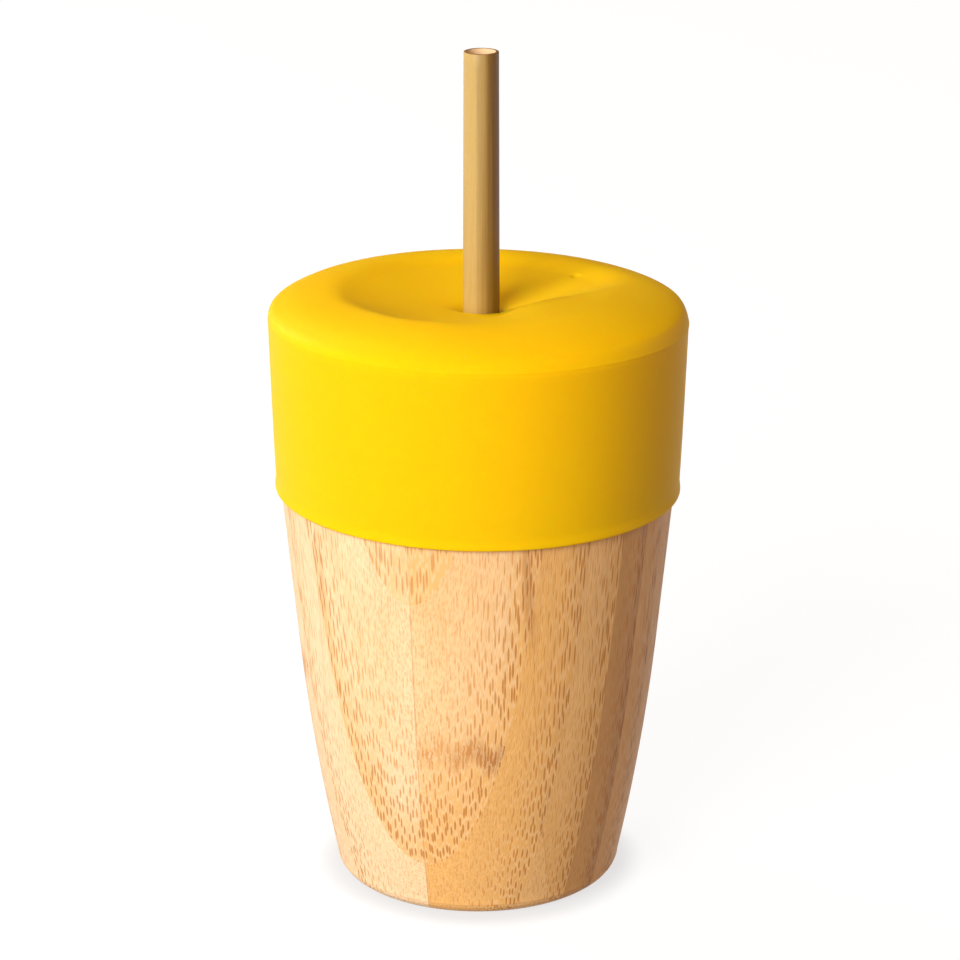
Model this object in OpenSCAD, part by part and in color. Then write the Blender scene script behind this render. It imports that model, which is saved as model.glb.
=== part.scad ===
// A turned cup of glued bamboo strips, with a soft stretch-on cap and a bamboo straw.
// The origin is the centre of the cup's base, +Z is up and -Y is the front. Lengths are millimetres.

/* [Cup] */
// Height of the cup from its base to its rim
cup_h = 116.4; // [100:0.2:135]
// Outer radius of the straight neck that the cap grips
neck_r = 39; // [34:0.5:46]
// Length of the straight neck, measured down from the rim
neck_l = 33.4; // [28:0.2:38]
// Drop over which the neck turns into the tapered side
neck_turn_l = 4; // [2:0.5:8]
// Angle of the tapered side from upright, in degrees
side_angle = 5.6; // [4:0.1:7]
// Height at which the tapered side starts to curve in
belly_z = 50; // [40:1:60]
// Radius of the arc that the side curves in on
belly_arc_r = 424; // [320:4:800]
// Rounding of the foot
foot_round_r = 3.5; // [1.5:0.5:5]
// Thickness of the turned wall
wall_t = 3.5; // [2.5:0.1:4.5]
// Thickness of the floor
floor_t = 6.5; // [5:0.5:9]
// Rounding between the floor and the wall inside
floor_round_r = 8; // [5:0.5:11]
// Rounding of the rim, inside and outside
rim_round_r = 1.2; // [0.6:0.1:1.6]

/* [Bamboo block] */
// Plies in the block that the cup is turned from, counted from front to back
ply_count = 12; // [10:1:13]
// Bamboo strips side by side in a ply
strip_count = 4; // [3:1:5]
// Spare thickness of the block in front of the neck and behind it
spare_t = 5.4; // [3:0.2:5.6]
// Spare width of the block on each side of the neck
spare_w = 5; // [2:0.5:7]
// Distance of the turning axis behind the middle of the block
axis_offset = 0.8; // [-0.9:0.1:0.9]
// Turn of the block about the axis, in degrees
grain_angle = -20; // [-45:1:45]
// Thinnest piece of a strip that is left standing at the neck
thinnest_strip_t = 0.3; // [0.2:0.1:1.1]

/* [Cap] */
// Height of the cap from its lower lip to its crest
cap_h = 37.8; // [34:0.2:42]
// Thickness of the cap over the cup's rim
cap_crown_t = 2.3; // [1.8:0.1:3.5]
// Thickness of the skirt at its lower lip
skirt_t = 0.8; // [0.6:0.05:1.4]
// Growth of the skirt's outer radius from the lip to the shoulder
skirt_flare = 1.5; // [0.5:0.1:2.5]
// Rounding of the shoulder
shoulder_round_r = 4.8; // [3.5:0.1:5.5]
// Depth of the dished top below the crest
dish_d = 2.4; // [1:0.1:3.2]
// Thickness of the dished top
dish_t = 2.5; // [2.2:0.1:3]
// Section radius of the bead along the lower lip
lip_bead_r = 0.75; // [0.4:0.05:1]
// Stand of the lip bead beyond the skirt
lip_bead_stand = 0.2; // [0.1:0.05:0.4]
// Section radius of the moulding line round the shoulder
mould_line_r = 0.3; // [0.15:0.05:0.4]
// Drop from the crest to the moulding line
mould_line_d = 3.1; // [2.4:0.1:4]
// Radius of the vent hole
vent_r = 0.6; // [0.3:0.1:1]
// Distance of the vent hole from the axis
vent_place_r = 30; // [20:0.5:31]
// Direction of the vent hole from +X, in degrees
vent_angle = 49.5; // [0:0.5:360]

/* [Straw] */
// Length of the straw
straw_l = 161.5; // [140:0.5:190]
// Outer radius of the straw up to the cap's crest
straw_r = 3.6; // [3:0.05:4]
// Outer radius of the straw at its drinking end
straw_tip_r = 3.4; // [2.8:0.05:4]
// Radius of the straw's bore
straw_bore_r = 2.7; // [2:0.05:2.75]

/* [Fits] */
// Radial clearance between the cap's skirt and the neck
skirt_clear = 0.08; // [0.04:0.01:0.1]
// Gap between the cap and the cup's rim
seat_gap = 0.3; // [0.2:0.05:0.4]
// Radial clearance of the straw in the cap
straw_clear = 0.05; // [0.02:0.01:0.1]
// Gap between the straw and the cup's floor
straw_gap = 0.3; // [0.2:0.05:0.4]

/* [Hidden] */
$fn = 120;
// Facets of the turned cup, finer because its glue lines meet the side at a slant
turned_fn = 360;
// How far cuts and blocks run past what they cut
overrun = 1;
// Steps of each rounded corner, of the belly, of the turn under the neck and of the cap's dish
corner_steps = 6;
belly_steps = 12;
turn_steps = 3;
dish_steps = 16;

neck_z = cup_h - neck_l;
turn_z = neck_z - neck_turn_l;
// The turn is an arc that starts upright at the neck and ends at the side's angle
turn_r = neck_turn_l / sin(side_angle);
turn_end_r = neck_r - turn_r * (1 - cos(side_angle));
belly_start_r = turn_end_r - (turn_z - belly_z) * tan(side_angle);
// The belly is an arc that leaves the side smoothly and curves in down to the foot
belly_centre_r = belly_start_r - belly_arc_r * cos(side_angle);
belly_centre_z = belly_z + belly_arc_r * sin(side_angle);

block_t = 2 * (neck_r + spare_t);
block_w = 2 * (neck_r + spare_w);
ply_t = block_t / ply_count;
strip_w = block_w / strip_count;

lip_z = cup_h + seat_gap + cap_crown_t - cap_h;
crest_z = lip_z + cap_h;
ceiling_z = cup_h + seat_gap;
skirt_in_r = neck_r + skirt_clear;
skirt_lip_r = skirt_in_r + skirt_t;
shoulder_r = skirt_lip_r + skirt_flare;
shoulder_z = crest_z - shoulder_round_r;
crest_r = shoulder_r - shoulder_round_r;
plug_r = neck_r - wall_t - skirt_clear;
// Place of the moulding line on the shoulder's arc, and the part of that arc that it covers to each side
mould_angle = asin((shoulder_round_r - mould_line_d) / shoulder_round_r);
mould_spread = 2 * asin(mould_line_r / 2 / shoulder_round_r);

straw_z = floor_t + straw_gap;
straw_hole_r = straw_r + straw_clear;

// Outer radius of the turned cup at a height, before its foot is rounded
function side_r(z) =
    z >= neck_z ? neck_r
    : z >= turn_z ? neck_r - turn_r + sqrt(pow(turn_r, 2) - pow(neck_z - z, 2))
    : z >= belly_z ? turn_end_r - (turn_z - z) * tan(side_angle)
    : belly_centre_r + sqrt(pow(belly_arc_r, 2) - pow(belly_centre_z - z, 2));

// Heights at which the side is sampled between a low point and the neck
function side_heights(low) = concat(
    [for (i = [0 : belly_steps - 1]) low + (belly_z - low) * i / belly_steps],
    [belly_z],
    [for (i = [0 : turn_steps]) turn_z + neck_turn_l * i / turn_steps]);

// A rounded corner, from angle a to angle b about its centre
function corner(r, centre_r, centre_z, a, b) = [
    for (i = [0 : corner_steps])
        let (t = a + (b - a) * i / corner_steps) [centre_r + r * cos(t), centre_z + r * sin(t)]];

function reversed(points) = [for (i = [len(points) - 1 : -1 : 0]) points[i]];
function without_ends(points) = [for (i = [1 : len(points) - 2]) points[i]];

// The foot's rounding meets the belly at this height, where the two have nearly one slope
foot_top_z = foot_round_r;
function cup_outline() = concat(
    [[0, 0]],
    corner(foot_round_r, side_r(foot_top_z) - foot_round_r, foot_round_r, -90, 0),
    [for (z = side_heights(foot_top_z)) if (z > foot_top_z) [side_r(z), z]],
    corner(rim_round_r, neck_r - rim_round_r, cup_h - rim_round_r, 0, 90),
    corner(rim_round_r, neck_r - wall_t + rim_round_r, cup_h - rim_round_r, 90, 180),
    reversed([for (z = side_heights(floor_t + floor_round_r))
        if (z > floor_t + floor_round_r) [side_r(z) - wall_t, z]]),
    reversed(corner(floor_round_r, side_r(floor_t + floor_round_r) - wall_t - floor_round_r,
        floor_t + floor_round_r, -90, 0)),
    [[0, floor_t]]);

module turned_cup() {
    rotate_extrude($fn = turned_fn) polygon(cup_outline());
}

// Glue lines between the plies from the front, and seams between the strips of a ply from the left
function glue_line(row) = block_t / 2 + axis_offset - row * ply_t;
function seam(column) = column * strip_w - block_w / 2;

// Distance from the axis to the nearest point of the strip at a row and column
function nearest(row, column) =
    let (front = max(glue_line(row + 1), -glue_line(row), 0))
    let (aside = max(seam(column), -seam(column + 1), 0))
    norm([front, aside]);
function is_held(row, column) = nearest(row, column) < neck_r - thinnest_strip_t;

function columns(row) = [for (column = [0 : strip_count - 1]) if (is_held(row, column)) column];
rows = [for (row = [0 : ply_count - 1]) if (len(columns(row)) > 0) row];

letters = "abcde";
function strip_name(row, column) = str("ply_", row < 9 ? "0" : "", row + 1, "_strip_", letters[column]);
strip_names = [for (row = rows) for (column = columns(row)) strip_name(row, column)];

// One strip is what the turned cup leaves of a square-sawn length of bamboo.
// The outermost strips take in all that lies beyond them.
module bamboo_strip(row, column) {
    across = columns(row);
    reach = neck_r + overrun;
    left = column == across[0] ? -reach : seam(column);
    right = column == across[len(across) - 1] ? reach : seam(column + 1);
    front = row == rows[0] ? reach : glue_line(row);
    back = row == rows[len(rows) - 1] ? -reach : glue_line(row + 1);
    shade = (row + column) % 2;
    color(shade == 0 ? "burlywood" : "navajowhite")
    intersection() {
        turned_cup();
        rotate([0, 0, grain_angle])
            translate([left, -front, -overrun])
            cube([right - left, front - back, cup_h + 2 * overrun]);
    }
}

// Height of the cap's dished top, level at the crest and at the axis
function dish_z(r) = crest_z - dish_d * (1 + cos(180 * r / crest_r)) / 2;

// Half section of the cap, up the outside from the lip and down the inside.
// The dished top hangs a little into the cup's mouth and centres the cap there.
function cap_outline() = concat(
    corner(lip_bead_r, skirt_lip_r + lip_bead_stand - lip_bead_r, lip_z + lip_bead_r,
        -90, acos(1 - lip_bead_stand / lip_bead_r)),
    corner(shoulder_round_r, crest_r, shoulder_z, 0, mould_angle - mould_spread),
    without_ends(corner(mould_line_r, crest_r + shoulder_round_r * cos(mould_angle),
        shoulder_z + shoulder_round_r * sin(mould_angle),
        mould_angle - mould_spread / 2 - 90, mould_angle + mould_spread / 2 + 90)),
    corner(shoulder_round_r, crest_r, shoulder_z, mould_angle + mould_spread, 90),
    [for (i = [1 : dish_steps]) let (r = crest_r * (1 - i / dish_steps)) [r, dish_z(r)]],
    [for (i = [0 : dish_steps]) let (r = plug_r * i / dish_steps) [r, dish_z(r) - dish_t]],
    [[plug_r, ceiling_z], [skirt_in_r, ceiling_z], [skirt_in_r, lip_z]]);

module silicone_cap() {
    color("gold")
    difference() {
        rotate_extrude() polygon(cap_outline());
        translate([0, 0, lip_z]) cylinder(h = cap_h + overrun, r = straw_hole_r);
        rotate([0, 0, vent_angle]) translate([vent_place_r, 0, lip_z])
            cylinder(h = cap_h + overrun, r = vent_r);
    }
}

module bamboo_straw() {
    lower_l = crest_z - straw_z;
    color("tan")
    translate([0, 0, straw_z])
    difference() {
        union() {
            cylinder(h = lower_l, r = straw_r);
            translate([0, 0, lower_l]) cylinder(h = straw_l - lower_l, r1 = straw_r, r2 = straw_tip_r);
        }
        translate([0, 0, -overrun]) cylinder(h = straw_l + 2 * overrun, r = straw_bore_r);
    }
}

for (row = rows) for (column = columns(row))
    bamboo_strip(row, column);
silicone_cap();
bamboo_straw();
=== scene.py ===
import math
import random

import bpy
import numpy as np
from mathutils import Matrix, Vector


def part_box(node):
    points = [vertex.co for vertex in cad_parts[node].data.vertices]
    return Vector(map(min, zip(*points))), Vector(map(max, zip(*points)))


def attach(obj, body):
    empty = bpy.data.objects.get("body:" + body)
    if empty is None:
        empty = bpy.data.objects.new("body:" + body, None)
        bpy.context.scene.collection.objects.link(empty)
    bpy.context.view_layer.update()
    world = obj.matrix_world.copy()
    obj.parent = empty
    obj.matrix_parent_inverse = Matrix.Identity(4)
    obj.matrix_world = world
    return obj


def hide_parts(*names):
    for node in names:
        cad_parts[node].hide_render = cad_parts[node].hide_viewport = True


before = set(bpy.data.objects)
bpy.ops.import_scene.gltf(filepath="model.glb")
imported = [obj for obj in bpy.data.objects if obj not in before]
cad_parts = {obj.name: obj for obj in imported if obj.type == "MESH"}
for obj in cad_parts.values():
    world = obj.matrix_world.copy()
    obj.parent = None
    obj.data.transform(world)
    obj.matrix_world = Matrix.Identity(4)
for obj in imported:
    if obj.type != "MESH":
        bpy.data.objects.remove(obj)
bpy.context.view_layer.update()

# Lengths in the dictionaries are millimetres unless a note says otherwise; the scene is in metres
mm = 0.001
random.seed(4)


def boxOf(node):
    low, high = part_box(node)
    return np.array(low) / mm, np.array(high) / mm


def smooth(low, high, value):
    t = np.clip((value - low) / (high - low), 0.0, 1.0)
    return t * t * (3.0 - 2.0 * t)


class Wire:
    # A socket that takes part in Python expressions; each operation adds a Math node

    def __init__(self, recipe, socket):
        self.recipe = recipe
        self.socket = socket

    def __add__(self, other): return self.recipe.maths("ADD", self, other)
    def __radd__(self, other): return self.recipe.maths("ADD", other, self)
    def __sub__(self, other): return self.recipe.maths("SUBTRACT", self, other)
    def __rsub__(self, other): return self.recipe.maths("SUBTRACT", other, self)
    def __mul__(self, other): return self.recipe.maths("MULTIPLY", self, other)
    def __rmul__(self, other): return self.recipe.maths("MULTIPLY", other, self)
    def __truediv__(self, other): return self.recipe.maths("DIVIDE", self, other)
    def __rtruediv__(self, other): return self.recipe.maths("DIVIDE", other, self)

    def least(self, other): return self.recipe.maths("MINIMUM", self, other)
    def most(self, other): return self.recipe.maths("MAXIMUM", self, other)
    def size(self): return self.recipe.maths("ABSOLUTE", self)
    def root(self): return self.recipe.maths("SQRT", self)

    def step(self, low, high):  # 0 below low, 1 above high, smooth between
        settings = {"interpolation_type": "SMOOTHSTEP"}
        return self.recipe.add("ShaderNodeMapRange", settings, {0: self, 1: low, 2: high})

    def hill(self, centre, spread):  # 1 at the centre, falling to 0 at the spread
        return 1 - (self - centre).size().step(0.0, spread)


class Recipe:
    # One material, built node by node onto a Principled shader

    def __init__(self, name):
        self.material = bpy.data.materials.new(name)
        self.material.use_nodes = True
        self.tree = self.material.node_tree
        self.shader = self.tree.nodes["Principled BSDF"]

    def add(self, kind, settings=None, values=None, output=0):
        node = self.tree.nodes.new(kind)
        for key, setting in (settings or {}).items():
            setattr(node, key, setting)
        for key, value in (values or {}).items():
            self.join(value, node.inputs[key])
        return Wire(self, node.outputs[output])

    def join(self, value, socket):
        if isinstance(value, Wire):
            self.tree.links.new(value.socket, socket)
        elif socket.type == "RGBA":
            socket.default_value = (*value, 1.0)
        else:
            socket.default_value = value

    def maths(self, operation, *values):
        return self.add("ShaderNodeMath", {"operation": operation}, dict(enumerate(values)))

    def vector(self, x, y, z):
        return self.add("ShaderNodeCombineXYZ", None, {0: x, 1: y, 2: z})

    def mix(self, share, first, second):  # two colours
        return self.add("ShaderNodeMix", {"data_type": "RGBA"}, {0: share, 6: first, 7: second}, 2)

    def tint(self, colour, shade):  # a colour times a grey value
        grey = self.add("ShaderNodeCombineColor", None, {0: shade, 1: shade, 2: shade})
        return self.add("ShaderNodeMix", {"data_type": "RGBA", "blend_type": "MULTIPLY"},
                        {0: 1.0, 6: colour, 7: grey}, 2)

    def noise(self, place, detail=2.0, roughness=0.5):
        return self.add("ShaderNodeTexNoise", None,
                        {"Vector": place, "Scale": 1.0, "Detail": detail, "Roughness": roughness})

    def cells(self, place, irregular=1.0, flat=False):  # distance to the nearest of many scattered points
        settings = {"voronoi_dimensions": "2D" if flat else "3D"}
        return self.add("ShaderNodeTexVoronoi", settings,
                        {"Vector": place, "Scale": 1.0, "Randomness": irregular})

    def place(self):  # the surface point in millimetres, in the part's own frame at rest
        point = self.add("ShaderNodeTexCoord", None, None, "Object")
        return [self.add("ShaderNodeSeparateXYZ", None, {0: point}, i) / mm for i in range(3)]

    def finish(self, bumpHeight=None, bumpDepth=0.0, **sockets):  # the depth in millimetres
        for name, value in sockets.items():
            self.join(value, self.shader.inputs[name.replace("_", " ")])
        if bumpHeight is not None:
            bump = self.add("ShaderNodeBump", None,
                            {"Height": bumpHeight, "Distance": bumpDepth * mm, "Strength": 1.0})
            self.join(bump, self.shader.inputs["Normal"])
        return self.material


def meshPiece(name, points, faces, material, sharpDegrees=None):
    mesh = bpy.data.meshes.new(name)
    mesh.from_pydata([tuple(p) for p in np.asarray(points) * mm], [], faces)
    mesh.validate()
    mesh.shade_smooth()
    if sharpDegrees:
        mesh.set_sharp_from_angle(angle=math.radians(sharpDegrees))
    mesh.materials.append(material)
    piece = bpy.data.objects.new(name, mesh)
    bpy.context.scene.collection.objects.link(piece)
    return piece


def tubeFaces(rings, around):
    # Quads of a closed ring of rings, the last joined to the first
    faces = []
    for k in range(rings):
        a, b = k * around, (k + 1) % rings * around
        for i in range(around):
            j = (i + 1) % around
            faces.append((a + i, a + j, b + j, b + i))
    return faces


# The camera, fitted to the photograph's outlines

photoView = {"lens": 131.25, "sensor": 36.0, "pitch": 0.3246, "place": (0.00043, -0.659494, 0.30383)}

cameraData = bpy.data.cameras.new("photoCamera")
cameraData.lens = photoView["lens"]
cameraData.sensor_width = photoView["sensor"]
camera = bpy.data.objects.new("photoCamera", cameraData)
camera.location = photoView["place"]
camera.rotation_euler = (math.pi / 2 - photoView["pitch"], 0.0, 0.0)
bpy.context.scene.collection.objects.link(camera)
bpy.context.scene.camera = camera
bpy.context.scene.view_settings.view_transform = "Standard"
print("camera placed")


# The bamboo strips keep their turned CAD shapes and each gets a bamboo of its own

block = {
    "grainAngle": -20.0,  # degrees, turn of the glued block about the axis
    "front": 45.2,  # front face of the block, measured from the axis
    "left": -44.0,
    "plyThick": 7.4,
    "stripWide": 22.0,
    "glueLine": 0.15,
    "seamShade": 0.5,
    "middleSeamTop": 74.0,  # the seam in the middle shows all the way below this height
    # Brown stains that cross the plies: place across, width, lower and upper end, strength
    "stains": ((21.8, 1.3, 56.0, 86.0, 0.42), (-20.6, 1.1, 55.0, 76.0, 0.3)),
}
bamboo = {
    "highlightCream": (0.95, 0.80, 0.60),
    "pale": (0.90, 0.675, 0.42),
    "honey": (0.80, 0.455, 0.15),
    "toast": (0.56, 0.29, 0.105),
    "fleck": (0.56, 0.20, 0.02),
    "darkFleck": (0.36, 0.13, 0.03),
    "coarseWide": 0.74,  # spacing of the coarse fibre bundles across the strip and through the ply
    "coarseDeep": 0.68,
    "fineWide": 0.5,
    "fineDeep": 0.17,
    "reach": 0.23,  # size of a coarse bundle as a share of the spacing
    "crowdReach": 0.06,  # and how it grows towards the back of a ply, and varies in patches
    "patchReach": 0.24,
    "fleckShare": 0.72,
    "frontFleckShare": 0.5,  # the same in the front ply
    "paintedHighlightShare": 0.28,  # painted highlight round the coarse bundles, standing in for the light their edges catch
    "darkPaintedHighlightShare": 0.1,
    "darkTone": 1.2,  # strips from this tone up count as dark
    "wander": 1.6,  # how far the fibres stray sideways, and swirl at a node
    "swirl": 1.5,
    "nodeTall": 4.5,  # half height of the swirled band at a bamboo node
    "nodeUneven": 9.0,
    "grainShade": 0.18,
    "streakShade": 0.22,
    "roughness": 0.47,
    "bump": 0.04,
}
# Strips that the eye falls on: tone from 0, pale, over 1, honey, to 2, toasted, and height of a node
stripLooks = {
    "ply_01_strip_b": (0.35, None), "ply_01_strip_c": (0.65, None),
    "ply_02_strip_a": (0.2, None), "ply_02_strip_b": (0.4, None), "ply_02_strip_c": (0.68, 36.5),
    "ply_02_strip_d": (1.0, None),
    "ply_03_strip_a": (0.25, None), "ply_03_strip_b": (0.3, None), "ply_03_strip_c": (1.08, None),
    "ply_03_strip_d": (1.15, None),
    "ply_04_strip_a": (0.35, 46.0), "ply_04_strip_b": (0.5, None), "ply_04_strip_c": (0.85, None),
    "ply_04_strip_d": (0.95, None),
    "ply_05_strip_a": (0.5, None), "ply_05_strip_d": (1.75, None),
    "ply_06_strip_a": (0.7, None), "ply_06_strip_d": (1.3, None), "ply_07_strip_d": (1.5, 70.0),
}


def bambooMaterial(name, row, column, tone, nodeHeight):
    recipe = Recipe(name)
    x, y, z = recipe.place()
    turn = math.radians(-block["grainAngle"])
    across = x * math.cos(turn) - y * math.sin(turn)
    front = x * -math.sin(turn) - y * math.cos(turn)
    left = block["left"] + column * block["stripWide"]
    face = block["front"] - row * block["plyThick"]
    depth = (face - front) / block["plyThick"]  # 0 at the ply's front, 1 at its back
    seed = random.uniform(0.0, 400.0)

    # Fibres wander a little along the height, and swirl at a node
    wander = recipe.noise(recipe.vector(across / 14 + seed, front / 9, z / 34)) - 0.5
    sway = wander * bamboo["wander"]
    if nodeHeight is not None:
        drift = recipe.noise(recipe.vector(across / 6, seed, front / 3), 1.0) - 0.5
        swirl = (z + drift * bamboo["nodeUneven"]).hill(nodeHeight, bamboo["nodeTall"])
        curl = recipe.noise(recipe.vector(across / 1.6, front / 1.1, z / 1.5 + seed), 3.0, 0.6) - 0.5
        sway = sway + swirl * curl * bamboo["swirl"]
    lane = across + sway + seed
    layer = front + sway * 0.3

    # Coarse bundles crowd towards the back of a ply and fine ones towards its front
    crowd = depth.step(0.05, 0.95)
    patchy = recipe.noise(recipe.vector(across / 5, front / 1.6 + seed, z / 16), 3.0, 0.6)
    coarsePlace = recipe.vector(lane / bamboo["coarseWide"], layer / bamboo["coarseDeep"], 0.0)
    finePlace = recipe.vector(lane / bamboo["fineWide"] + 7, layer / bamboo["fineDeep"], 0.0)
    reach = bamboo["reach"] + crowd * bamboo["crowdReach"] + (patchy - 0.5) * bamboo["patchReach"]
    nearness = recipe.cells(coarsePlace, 0.7, True) / reach
    coarse = (1 - nearness.step(0.7, 1.15)) * (0.3 + crowd * 0.7)
    # Painted highlight: a pale ring round each coarse bundle
    paintedHighlight = nearness.hill(1.5, 0.45) * (0.35 + crowd * 0.65)
    fine = (1 - recipe.cells(finePlace, 0.9, True).step(0.1, 0.4)) * (0.42 - crowd * 0.22)
    flecks = (coarse + fine).least(1.0)

    grain = recipe.noise(recipe.vector(lane * 2.6, layer * 6.5, z / 6), 3.0, 0.6) - 0.5
    streaks = recipe.noise(recipe.vector(lane * 0.9, layer * 1.5, z / 40), 2.0) - 0.5
    clouds = recipe.noise(recipe.vector(across / 11 + seed, front / 8, z / 45), 2.0) - 0.5
    toneWire = clouds * 0.7 + (depth.step(0.55, 1.0) - 0.35) * 0.35 + tone
    base = recipe.mix(toneWire.step(0.0, 1.0), bamboo["pale"], bamboo["honey"])
    base = recipe.mix(toneWire.step(1.0, 2.0), base, bamboo["toast"])
    if nodeHeight is not None:
        brown = swirl * (0.05 + crowd * crowd * 0.95)
        base = recipe.mix(brown, base, bamboo["toast"])
        lines = recipe.noise(recipe.vector(lane * 1.7, seed, z / 9), 2.0).step(0.5, 0.62)
        flecks = flecks.most(swirl * lines * 0.9)
    seams = (across - left).hill(0.0, block["glueLine"])
    seams = seams.most((across - left - block["stripWide"]).hill(0.0, block["glueLine"]))
    seams = seams * recipe.noise(recipe.vector(left, front / 9, z / 12)).step(0.35, 0.6)
    middleSeam = across.hill(0.0, block["glueLine"]) * (block["middleSeamTop"] - z).step(0.0, 10.0)
    seams = seams.most(middleSeam)
    # The painted highlight is weaker on dark strips
    paintedHighlightShare = bamboo["paintedHighlightShare"] if tone < bamboo["darkTone"] else bamboo["darkPaintedHighlightShare"]
    base = recipe.mix(paintedHighlight * paintedHighlightShare, base, bamboo["highlightCream"])
    fleckColour = recipe.mix(crowd.step(0.6, 1.0) * 0.6, bamboo["fleck"], bamboo["darkFleck"])
    base = recipe.mix(flecks * bamboo["fleckShare" if row else "frontFleckShare"], base, fleckColour)
    for centre, wide, low, high, share in block["stains"]:
        stain = (across + wander * 2).hill(centre, wide) * z.step(low, low + 14) * (1 - z.step(high - 8, high))
        base = recipe.mix(stain * share, base, bamboo["darkFleck"])
    base = recipe.tint(base, grain * bamboo["grainShade"] + streaks * bamboo["streakShade"] + 1.0)
    base = recipe.mix(seams * block["seamShade"], base, bamboo["darkFleck"])
    rough = flecks * 0.16 + grain * 0.1 + bamboo["roughness"]
    height = grain * 0.35 - flecks * 0.8 - seams * 0.6
    return recipe.finish(height, bamboo["bump"], Base_Color=base, Roughness=rough, Specular_IOR_Level=0.3)


letters = "abcd"
for stripName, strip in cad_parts.items():
    if not stripName.startswith("ply_"):
        continue
    row = int(stripName.split("_")[1]) - 1
    column = letters.index(stripName[-1])
    plain = (random.uniform(0.3, 1.3), random.choice((None, None, random.uniform(20.0, 95.0))))
    tone, nodeHeight = stripLooks.get(stripName, plain)
    strip.data.materials.clear()
    strip.data.materials.append(bambooMaterial(stripName + "_bamboo", row, column, tone, nodeHeight))
print("bamboo strips finished")


# The silicone cap: one moulded shell, pulled out of round by the straw

capLow, capHigh = boxOf("silicone_cap")
cap = {
    "lipZ": capLow[2],
    "lipR": 39.9,
    "bead": 0.3,  # stand of the soft swelling along the lip
    "beadTall": 1.1,
    "lipRound": 0.35,
    "lipDrop": 0.1,
    "shoulderR": 41.15,
    "shoulderZ": 115.0,
    "rimR": 36.0,  # where the close rings over the shoulder end
    "crestR": 22.0,  # the top swells from the shoulder up to here
    "frontR": 26.0,  # the same at the front, where the crest is also a little higher
    "frontRise": 0.8,
    "frontTurn": 0.3,  # that front looks a little to the right, and fades out round the sides
    "frontSpan": 0.9,
    "crestZ": capHigh[2] + 2.65,
    "curveIn": 1.5,
    "curveUp": 3.1,
    "frontUp": 2.3,  # the front of the top slopes more evenly than the rear
    "mouldZ": 115.4,
    "mouldFront": 0.9,  # the mould line climbs a little towards the front
    "mouldProud": 0.03,
    "mouldRight": 0.09,  # and stands prouder on the right
    "mouldTall": 0.22,
    "mouldR": 40.0,  # only what lies outside this radius carries the line
    "wallShift": 0.1,  # the wall and the top are a little off the middle, and not by the same
    "topShift": 0.8,
    "shiftSpan": 0.06,
    "lean": 0.0125,  # drop of the outside for each millimetre to the right
    "wall": 2.3,
    "neckR": 39.08,
    "ceilingZ": 116.72,
    "ceilingDrop": 0.02,
    "plugR": 35.42,
    "lipBevel": 0.75,  # height of the slope inside the lip
    "flareCurve": 0.8,  # the skirt widens fastest near the lip
    "around": 288,
    "lipRings": 6,
    "wallRings": 40,
    "wallCrowd": 1.3,  # the wall's rings crowd towards the lip, and the next ones towards the shoulder
    "shoulderRings": 60,
    "shoulderCrowd": 3,
    "topRings": 120,
    "holeRings": 4,
    "ceilingRings": 40,
}
hole = {
    "x": 0.68,  # the straw stands a little off the middle
    "r": 3.66,
    "z": 117.2,
    "basinReach": 24.0,  # the sunken rear climbs slowly from the hole, the front soon
    "bowlReach": 32.0,
    "frontReach": 5.0,
    "frontLong": 0.5,  # the hollow in front of the hole is long and narrow
    "tight": 1.2,  # where the straw drags the rubber down beside and behind it
    "tightReach": 1.6,
    "tightFrom": -3.5,
    "tightFull": 1.0,
}
# Ridge between the swollen front and the sunken rear, from the left round to the right: x, y, and the
# length over which the surface falls away behind it
ridge = [
    (-27.0, 18.0, 9.0), (-29.6, 9.5, 7.0), (-30.0, 2.0, 5.5), (-28.0, -7.5, 4.5), (-20.9, -17.4, 4.0),
    (-15.4, -22.9, 4.0), (-9.9, -24.4, 4.5), (-4.3, -24.3, 5.0), (0.8, -21.0, 5.0), (4.2, -14.5, 4.5),
    (7.0, -9.3, 3.3), (10.5, -7.8, 4.0), (17.0, -5.5, 5.2), (24.0, 0.3, 6.0), (31.5, 8.5, 6.0),
    (39.0, 15.0, 7.0),
]
basin = {"soft": 1.0, "rearStart": 24.0, "rearEnd": 35.0, "ridgeMarks": 160, "ridgeRounds": 8}
vent = {"x": 19.5, "y": 16.5, "wide": 1.2, "deep": 0.6}


def behindRidge(x, y):
    # How far a point lies behind the ridge, and the length that holds there
    marks = np.linspace(0, len(ridge) - 1, basin["ridgeMarks"])
    rows = np.array([np.interp(marks, range(len(ridge)), column) for column in zip(*ridge)])
    for _ in range(basin["ridgeRounds"]):  # round the corners of the polyline
        rows[:, 1:-1] = (rows[:, :-2] + 2 * rows[:, 1:-1] + rows[:, 2:]) / 4
    alongX, alongY = np.gradient(rows[0]), np.gradient(rows[1])
    gapX, gapY = x[:, None] - rows[0], y[:, None] - rows[1]
    gap = np.hypot(gapX, gapY)
    near = gap.argmin(1)
    pick = np.arange(len(x)), near
    side = np.sign(alongX[near] * gapY[pick] - alongY[near] * gapX[pick])
    weight = 1.0 / (gap ** 2 + 1.0) ** 2
    weight /= weight.sum(1, keepdims=True)
    return gap[pick] * side, (weight * rows[2]).sum(1)


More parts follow.
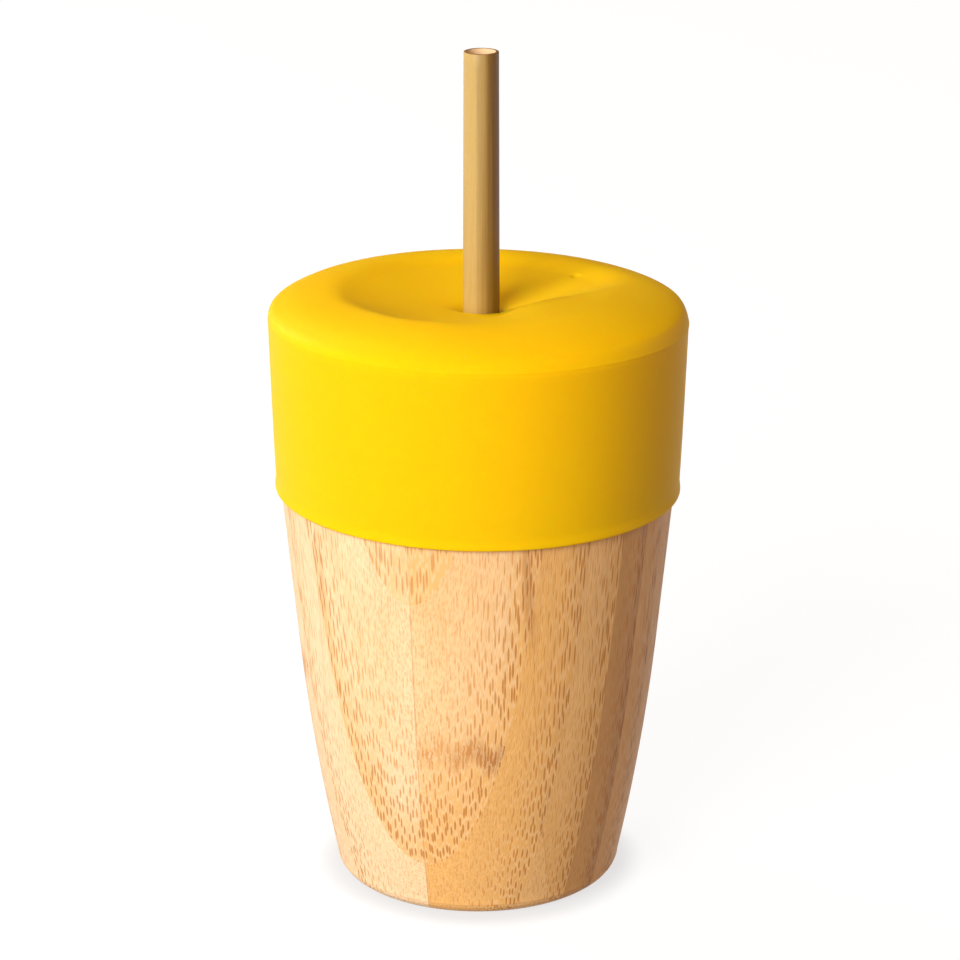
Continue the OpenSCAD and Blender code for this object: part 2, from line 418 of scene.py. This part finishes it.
def topSurface(r, x, y):
    facing = smooth(0.0, cap["frontSpan"], (x * cap["frontTurn"] - y) / r)
    crestR = cap["crestR"] + (cap["frontR"] - cap["crestR"]) * facing
    part = np.clip((r - crestR) / (cap["shoulderR"] - crestR), 0.0, 1.0)
    rise = cap["crestZ"] + cap["frontRise"] * facing - cap["shoulderZ"]
    fullness = cap["curveUp"] + (cap["frontUp"] - cap["curveUp"]) * facing
    domeZ = cap["shoulderZ"] + rise * (1 - part ** cap["curveIn"]) ** (1 / fullness)
    gap = np.maximum(np.hypot(x - hole["x"], y) - hole["r"], 0.0)
    sink = cap["crestZ"] - hole["z"]
    hollow = np.hypot(x - hole["x"], y * np.where(y < 0, hole["frontLong"], 1.0)) - hole["r"]
    front = hole["z"] + (domeZ - hole["z"]) * (1 - np.exp(-np.maximum(hollow, 0.0) / hole["frontReach"]))
    climb = 1 - np.exp(-gap / hole["basinReach"])
    rear = hole["z"] + sink * (climb + (gap / hole["bowlReach"]) ** 2) / 2
    behind, length = behindRidge(x, y)
    into = basin["soft"] * np.logaddexp(0.0, behind / basin["soft"])
    share = (1.0 - np.exp(-into / length)) * (1.0 - smooth(basin["rearStart"], basin["rearEnd"], r))
    height = front + (rear - front) * share
    drag = smooth(hole["tightFrom"], hole["tightFull"], y) * np.exp(-gap / hole["tightReach"])
    height = height - hole["tight"] * drag
    ventGap = np.hypot(x - vent["x"], y - vent["y"])
    return height - vent["deep"] * (1.0 - smooth(0.0, 1.0, ventGap / vent["wide"]))


def capMesh():
    lipZ = cap["lipZ"]
    rings = []  # radius, height, whether the height counts from the top's surface, share of lean, shift
    footZ = lipZ - cap["lipDrop"] + cap["lipRound"]
    for i in range(cap["lipRings"] + 1):  # the lip's rounded lower corner
        t = math.pi / 2 * (i / cap["lipRings"] - 1)
        r = cap["lipR"] + cap["bead"] + cap["lipRound"] * (math.cos(t) - 1)
        rings.append((r, footZ + cap["lipRound"] * math.sin(t), False, 1, 0))
    for i in range(1, cap["wallRings"] + 1):  # the swelling along the lip, and the flared skirt
        t = (i / cap["wallRings"]) ** cap["wallCrowd"]
        z = footZ + (cap["shoulderZ"] - footZ) * t
        swell = cap["bead"] * math.exp(-((z - footZ) / cap["beadTall"]) ** 2)
        flare = (cap["shoulderR"] - cap["lipR"]) * t ** cap["flareCurve"]
        rings.append((cap["lipR"] + flare + swell, z, False, 1, cap["wallShift"] * t))
    over = cap["shoulderR"] - cap["rimR"]
    for i in range(1, cap["shoulderRings"] + 1):  # over the shoulder
        share = (i / cap["shoulderRings"]) ** cap["shoulderCrowd"]
        rings.append((cap["shoulderR"] - over * share, 0.0, True, 1, None))
    for i in range(1, cap["topRings"] + 1):  # in to the straw's hole
        rings.append((cap["rimR"] + (hole["r"] - cap["rimR"]) * i / cap["topRings"], 0.0, True, 1, None))
    for i in range(1, cap["holeRings"] + 1):
        rings.append((hole["r"], -cap["wall"] * i / cap["holeRings"], True, 0, None))
    for i in range(1, cap["ceilingRings"] + 1):  # the underside
        r = hole["r"] + (cap["plugR"] - hole["r"]) * i / cap["ceilingRings"]
        rings.append((r, -cap["wall"], True, 0, None))
    rings.append((cap["plugR"], cap["ceilingZ"] - cap["ceilingDrop"], False, 0, 0))
    rings.append((cap["neckR"], cap["ceilingZ"], False, 0, 0))
    rings.append((cap["neckR"], footZ + cap["lipBevel"], False, 0, 0))
    rings.append((cap["neckR"], footZ, False, 1, 0))

    angles = np.linspace(0.0, 2 * math.pi, cap["around"], endpoint=False)
    mouldZ = cap["mouldZ"] + cap["mouldFront"] * smooth(0.0, 1.0, -np.sin(angles))
    proud = cap["mouldProud"] + cap["mouldRight"] * smooth(-0.2, 1.0, np.cos(angles))
    points = []
    for r, z, onTop, lean, shift in rings:
        x, y = r * np.cos(angles), r * np.sin(angles)
        if onTop:  # the hole is off the middle, and the rings between drift towards it
            inward = np.clip((cap["shoulderR"] - r) / (cap["shoulderR"] - hole["r"]), 0.0, 1.0)
            onTopShare = float(smooth(0.0, cap["shiftSpan"], inward))
            atRim = cap["wallShift"] + (cap["topShift"] - cap["wallShift"]) * onTopShare
            x = x + atRim + (hole["x"] - atRim) * inward
            z = z + topSurface(r, x, y)
        else:
            x = x + shift
        if lean and r > cap["mouldR"]:
            line = proud * np.exp(-((z - mouldZ) / cap["mouldTall"]) ** 2)
            x, y = x + line * np.cos(angles), y + line * np.sin(angles)
        points.append(np.stack([x, y, z - lean * cap["lean"] * x], 1))
    return np.concatenate(points), tubeFaces(len(rings), cap["around"])


silicone = {
    "colour": (0.95, 0.54, 0.004),
    "deep": (0.90, 0.47, 0.002),
    "dust": (1.0, 0.80, 0.25),
    "roughness": 0.52,
    "sheen": (1.0, 0.62, 0.03),
    "glow": 0.6,  # share of light that scatters inside
    "reach": (2.6, 1.3, 0.2),
    "cloudWide": 18.0,  # wide, faint changes of colour
    "cloudShare": 0.12,
    "skinFine": 4.0,  # cells of the skin's texture in a millimetre
    "dustWide": 3.4,  # lint on the top, its spacing and strength
    "dustShare": 0.5,
    "dustFrom": 116.0,
    "bump": 0.012,
}


def siliconeMaterial():
    recipe = Recipe("silicone_yellow")
    x, y, z = recipe.place()
    cloud, fine, speck = silicone["cloudWide"], silicone["skinFine"], silicone["dustWide"]
    clouds = recipe.noise(recipe.vector(x / cloud, y / cloud, z / cloud), 3.0)
    skin = recipe.noise(recipe.vector(x * fine, y * fine, z * fine), 3.0, 0.6)
    base = recipe.mix(clouds.step(0.35, 0.7) * silicone["cloudShare"], silicone["colour"], silicone["deep"])
    specks = recipe.cells(recipe.vector(x / speck, y / speck, z / speck))
    lint = (1 - specks.step(0.02, 0.045)) * z.step(silicone["dustFrom"], silicone["dustFrom"] + 1)
    base = recipe.mix(lint * silicone["dustShare"], base, silicone["dust"])
    rough = skin * 0.1 + silicone["roughness"] - 0.05
    return recipe.finish(skin, silicone["bump"], Base_Color=base, Roughness=rough,
                         Subsurface_Weight=silicone["glow"], Subsurface_Radius=silicone["reach"],
                         Subsurface_Scale=mm, IOR=1.41, Specular_IOR_Level=0.1,
                         Specular_Tint=silicone["sheen"])


capPoints, capFaces = capMesh()
capPiece = meshPiece("cap_shell", capPoints, capFaces, siliconeMaterial(), 50)
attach(capPiece, "cap")
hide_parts("silicone_cap")
print("silicone cap finished")


# The bamboo straw: a natural tube with a cut end

strawLow, strawHigh = boxOf("bamboo_straw")
straw = {
    "footZ": strawLow[2],
    "topZ": strawHigh[2],
    "footR": 3.6,
    "tipR": 3.42,
    "boreR": 2.75,
    "edge": 0.14,  # softened edge of the cut
    "x": hole["x"],
    "thinFrom": 119.0,  # it narrows from here to its tip
    "around": 72,
    "rings": 60,
    "boreRings": 12,
    "uneven": 0.035,
}


def strawMesh():
    angles = np.linspace(0.0, 2 * math.pi, straw["around"], endpoint=False)
    footZ, topZ, edge = straw["footZ"], straw["topZ"], straw["edge"]
    tall = topZ - footZ

    def outerR(z):
        t = max(0.0, (z - straw["thinFrom"]) / (topZ - straw["thinFrom"]))
        return straw["footR"] + (straw["tipR"] - straw["footR"]) * t

    outer = [(outerR(footZ) - edge, footZ)]
    outer += [(outerR(z), z) for z in np.linspace(footZ + edge, topZ - edge, straw["rings"])]
    outer += [(straw["tipR"] - edge * 0.3, topZ - edge * 0.3), (straw["tipR"] - edge, topZ)]
    inner = [(straw["boreR"] + edge, topZ), (straw["boreR"] + edge * 0.3, topZ - edge * 0.3)]
    inner += [(straw["boreR"], z) for z in np.linspace(topZ - edge, footZ + edge, straw["boreRings"])]
    inner += [(straw["boreR"] + edge, footZ)]
    points = []
    for k, (r, z) in enumerate(outer + inner):
        radius = r + 0 * angles
        if k < len(outer):  # the stem isn't quite round, and swells and thins along its length
            oval = np.cos(2 * angles + 0.6) * 0.5 - 0.5
            radius = radius + straw["uneven"] * (oval + 0.4 * np.sin(z / tall * 9.0) - 0.4)
        x = straw["x"] + radius * np.cos(angles)
        points.append(np.stack([x, radius * np.sin(angles), z + 0 * x], 1))
    return np.concatenate(points), tubeFaces(len(points), straw["around"])


cane = {
    # Painted light and painted shade: the stem's left and rear are painted lighter, its right darker
    "paintedLight": (0.50, 0.345, 0.115),
    "paintedShade": (0.17, 0.08, 0.01),
    "green": (0.25, 0.17, 0.02),
    "speck": (0.30, 0.16, 0.04),
    "bore": (0.80, 0.55, 0.33),
    "char": (0.20, 0.09, 0.03),
    "paintedLightBack": 0.45,  # painted light on the side towards the left and the rear, painted shade on the right, with an uneven border
    "paintedLightSide": -0.85,
    "paintedLightUneven": 0.9,
    "paintedLightFrom": -1.05,
    "paintedLightFull": -0.05,
    "greenFrom": 150.0,  # it turns greener downwards
    "greenReach": 60.0,
    "greenShare": 0.55,
    "speckShare": 0.22,
    "fibreShade": 0.28,
    "boreFrom": 0.80,  # as a share of the straw's radius
    "boreFull": 0.775,
    "boreShare": 0.9,
    "charFrom": 0.12,  # the cut end is dark, measured down from the tip
    "charFull": 0.02,
    "charShare": 0.9,
    "pithShare": 0.35,
    "roughness": 0.42,
    "bump": 0.03,
}


def caneMaterial():
    recipe = Recipe("cane_skin")
    x, y, z = recipe.place()
    side = (x - straw["x"]) / straw["footR"]
    back = y / straw["footR"]
    reach = (side * side + back * back).root()
    turn = recipe.vector(side * 3, back * 3, z / 60)
    bands = recipe.noise(turn, 2.0) - 0.5
    # Painted light on the left and rear of the stem, painted shade on its right
    paintedLight = back * cane["paintedLightBack"] + side * cane["paintedLightSide"] + bands * cane["paintedLightUneven"]
    paintedLight = paintedLight.step(cane["paintedLightFrom"], cane["paintedLightFull"])
    base = recipe.mix(paintedLight, cane["paintedShade"], cane["paintedLight"])
    lower = (cane["greenFrom"] - z) / cane["greenReach"]
    lower = lower + recipe.noise(recipe.vector(side * 2, back * 2, z / 25)) - 0.5
    base = recipe.mix(lower.step(0.0, 1.0) * cane["greenShare"], base, cane["green"])
    fibres = recipe.noise(recipe.vector(side * 26, back * 26, z / 5), 3.0, 0.65) - 0.5
    specks = 1 - recipe.cells(recipe.vector(side * 14, back * 14, z * 1.6)).step(0.1, 0.32)
    base = recipe.mix(specks * cane["speckShare"], base, cane["speck"])
    base = recipe.tint(base, fibres * cane["fibreShade"] + 1.0)
    inside = 1 - reach.step(cane["boreFull"], cane["boreFrom"])
    base = recipe.mix(inside * cane["boreShare"], base, cane["bore"])
    cut = z.step(straw["topZ"] - cane["charFrom"], straw["topZ"] - cane["charFull"])
    pith = recipe.cells(recipe.vector(side * 9, back * 9, 0.0)).step(0.15, 0.5)
    base = recipe.mix(cut * (cane["charShare"] - pith * cane["pithShare"]), base, cane["char"])
    rough = fibres * 0.14 + inside * 0.25 + cane["roughness"]
    height = fibres * 0.6 - specks * 0.2
    return recipe.finish(height, cane["bump"], Base_Color=base, Roughness=rough, Specular_IOR_Level=0.3)


strawPoints, strawFaces = strawMesh()
strawPiece = meshPiece("drinking_straw", strawPoints, strawFaces, caneMaterial(), 50)
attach(strawPiece, "straw")
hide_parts("bamboo_straw")
print("bamboo straw finished")


# The studio: a pale sweep lit from within, a broad key from the left, warm fill and a soft back light

studio = {
    "floorWide": 6000.0,
    "floorSteps": 8,
    "floorColour": (0.12, 0.12, 0.12),
    "floorGlow": 0.9,
    "floorRoughness": 0.9,
    "mottleWide": 90.0,
    "mottle": 0.02,
    "ringInset": 20.0,  # the backdrop ring stands this far inside the floor's edge
    "ringTall": 2600.0,
    "ringAround": 96,
    "footR": 28.2,  # the cup's foot
    "paintedShadowDark": 0.2,  # painted contact shadow round the foot, and how far out it reaches
    "paintedShadowWide": 7.0,
    "fillColour": (1.0, 0.66, 0.43),
    "fillStrength": 0.28,
}
lamps = {
    "frontLeft": {"azimuth": -32.0, "elevation": 24.0, "far": 1.5, "wide": 0.9, "watts": 31.5,
                  "colour": (1.0, 0.98, 0.95)},
    "backLeft": {"azimuth": -125.0, "elevation": 25.0, "far": 1.5, "wide": 0.9, "watts": 12.0,
                 "colour": (1.0, 0.98, 0.95)},
    "backRight": {"azimuth": 118.0, "elevation": 8.0, "far": 1.5, "wide": 0.8, "watts": 3.5,
                  "colour": (1.0, 0.93, 0.86)},
}
middle = Vector((0.0, 0.0, 0.075))


def floorMesh():
    half = studio["floorWide"] / 2
    steps = studio["floorSteps"]
    ticks = np.linspace(-half, half, steps + 1)
    points = [(x, y, 0.0) for y in ticks for x in ticks]
    faces = []
    for j in range(steps):
        for i in range(steps):
            a = j * (steps + 1) + i
            faces.append((a, a + 1, a + steps + 2, a + steps + 1))
    return points, faces


def floorMaterial():
    recipe = Recipe("studio_floor")
    x, y, z = recipe.place()
    mottle = recipe.noise(recipe.vector(x / studio["mottleWide"], y / studio["mottleWide"], 0.0)) - 0.5
    base = recipe.tint(studio["floorColour"], mottle * studio["mottle"] + 1.0)
    # Painted shadow: the floor's glow is darker close to the cup's foot
    gap = (x * x + y * y).root() - studio["footR"]
    shade = 1 - (1 - gap.step(0.0, studio["paintedShadowWide"])) * studio["paintedShadowDark"]
    glowWithPaintedShadow = recipe.tint((1.0, 1.0, 1.0), shade)
    return recipe.finish(None, Base_Color=base, Roughness=studio["floorRoughness"], Emission_Color=glowWithPaintedShadow,
                         Emission_Strength=studio["floorGlow"])


floorPoints, floorFaces = floorMesh()
floor = meshPiece("floor", floorPoints, floorFaces, floorMaterial())
floor.visible_diffuse = False

# A ring of the same pale material stands round the floor, so that low views see no horizon. It takes no part
# in the lighting.
ringAngles = np.linspace(0.0, 2 * math.pi, studio["ringAround"], endpoint=False)
ringR = studio["floorWide"] / 2 - studio["ringInset"]
ringPoints = [(ringR * math.cos(t), ringR * math.sin(t), z)
              for z in (0.0, studio["ringTall"]) for t in ringAngles]
ringFaces = tubeFaces(2, studio["ringAround"])[:studio["ringAround"]]
backdrop = meshPiece("backdrop", ringPoints, ringFaces, floor.data.materials[0])
backdrop.visible_diffuse = False
backdrop.visible_glossy = False
backdrop.visible_shadow = False
backdrop.visible_transmission = False

world = bpy.data.worlds.new("studioFill")
world.use_nodes = True
sky = world.node_tree.nodes["Background"]
sky.inputs["Color"].default_value = (*studio["fillColour"], 1.0)
sky.inputs["Strength"].default_value = studio["fillStrength"]
bpy.context.scene.world = world

for name, lamp in lamps.items():
    data = bpy.data.lights.new(name, "AREA")
    data.shape = "SQUARE"
    data.size = lamp["wide"]
    data.energy = lamp["watts"]
    data.color = lamp["colour"]
    azimuth, elevation = math.radians(lamp["azimuth"]), math.radians(lamp["elevation"])
    away = Vector((math.sin(azimuth) * math.cos(elevation), -math.cos(azimuth) * math.cos(elevation),
                   math.sin(elevation)))
    light = bpy.data.objects.new(name, data)
    light.location = middle + away * lamp["far"]
    light.rotation_euler = away.to_track_quat("Z", "Y").to_euler()
    bpy.context.scene.collection.objects.link(light)
print("studio lit")
